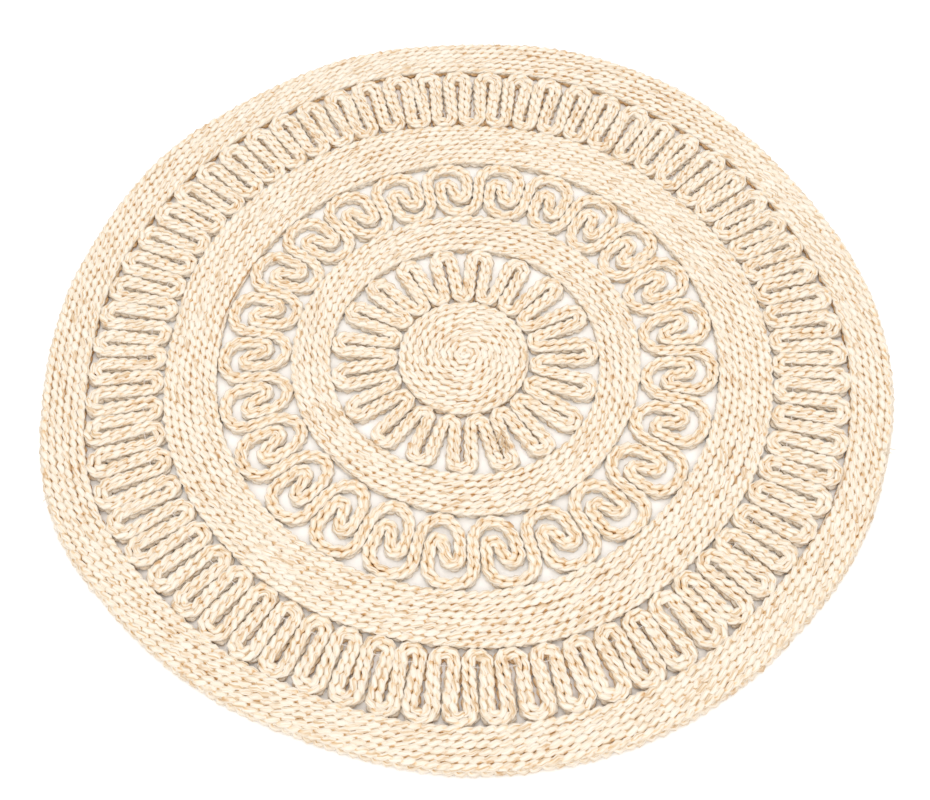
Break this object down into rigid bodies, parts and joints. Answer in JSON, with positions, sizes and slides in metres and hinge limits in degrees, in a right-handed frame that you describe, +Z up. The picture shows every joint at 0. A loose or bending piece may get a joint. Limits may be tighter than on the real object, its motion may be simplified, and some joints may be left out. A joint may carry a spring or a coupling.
{
  "type": "round straw rug",
  "caption": "Round flat floor rug of straw braid set on edge, coiled in plain rings with openwork rings of hairpin loops and S scrolls between them.",
  "frame": {"origin": "on the floor, under the middle of the rug's outline", "axes": "+Z up through the rug's thickness, +X to the right and +Y away from the viewer in the picture"},
  "size_m": [1.2032, 1.1956, 0.015],
  "materials": {
    "straw_braid": "matt pale straw braid",
    "straw_lace": "matt pale straw braid, shaded between loops"
  },
  "bodies": {
    "root": {"centre_disc": "straw_braid", "inner_loops": "straw_lace", "inner_band": "straw_braid", "scroll_ring": "straw_lace", "middle_band": "straw_braid", "outer_loops": "straw_lace", "border": "straw_braid"}
  },
  "joints": []
}
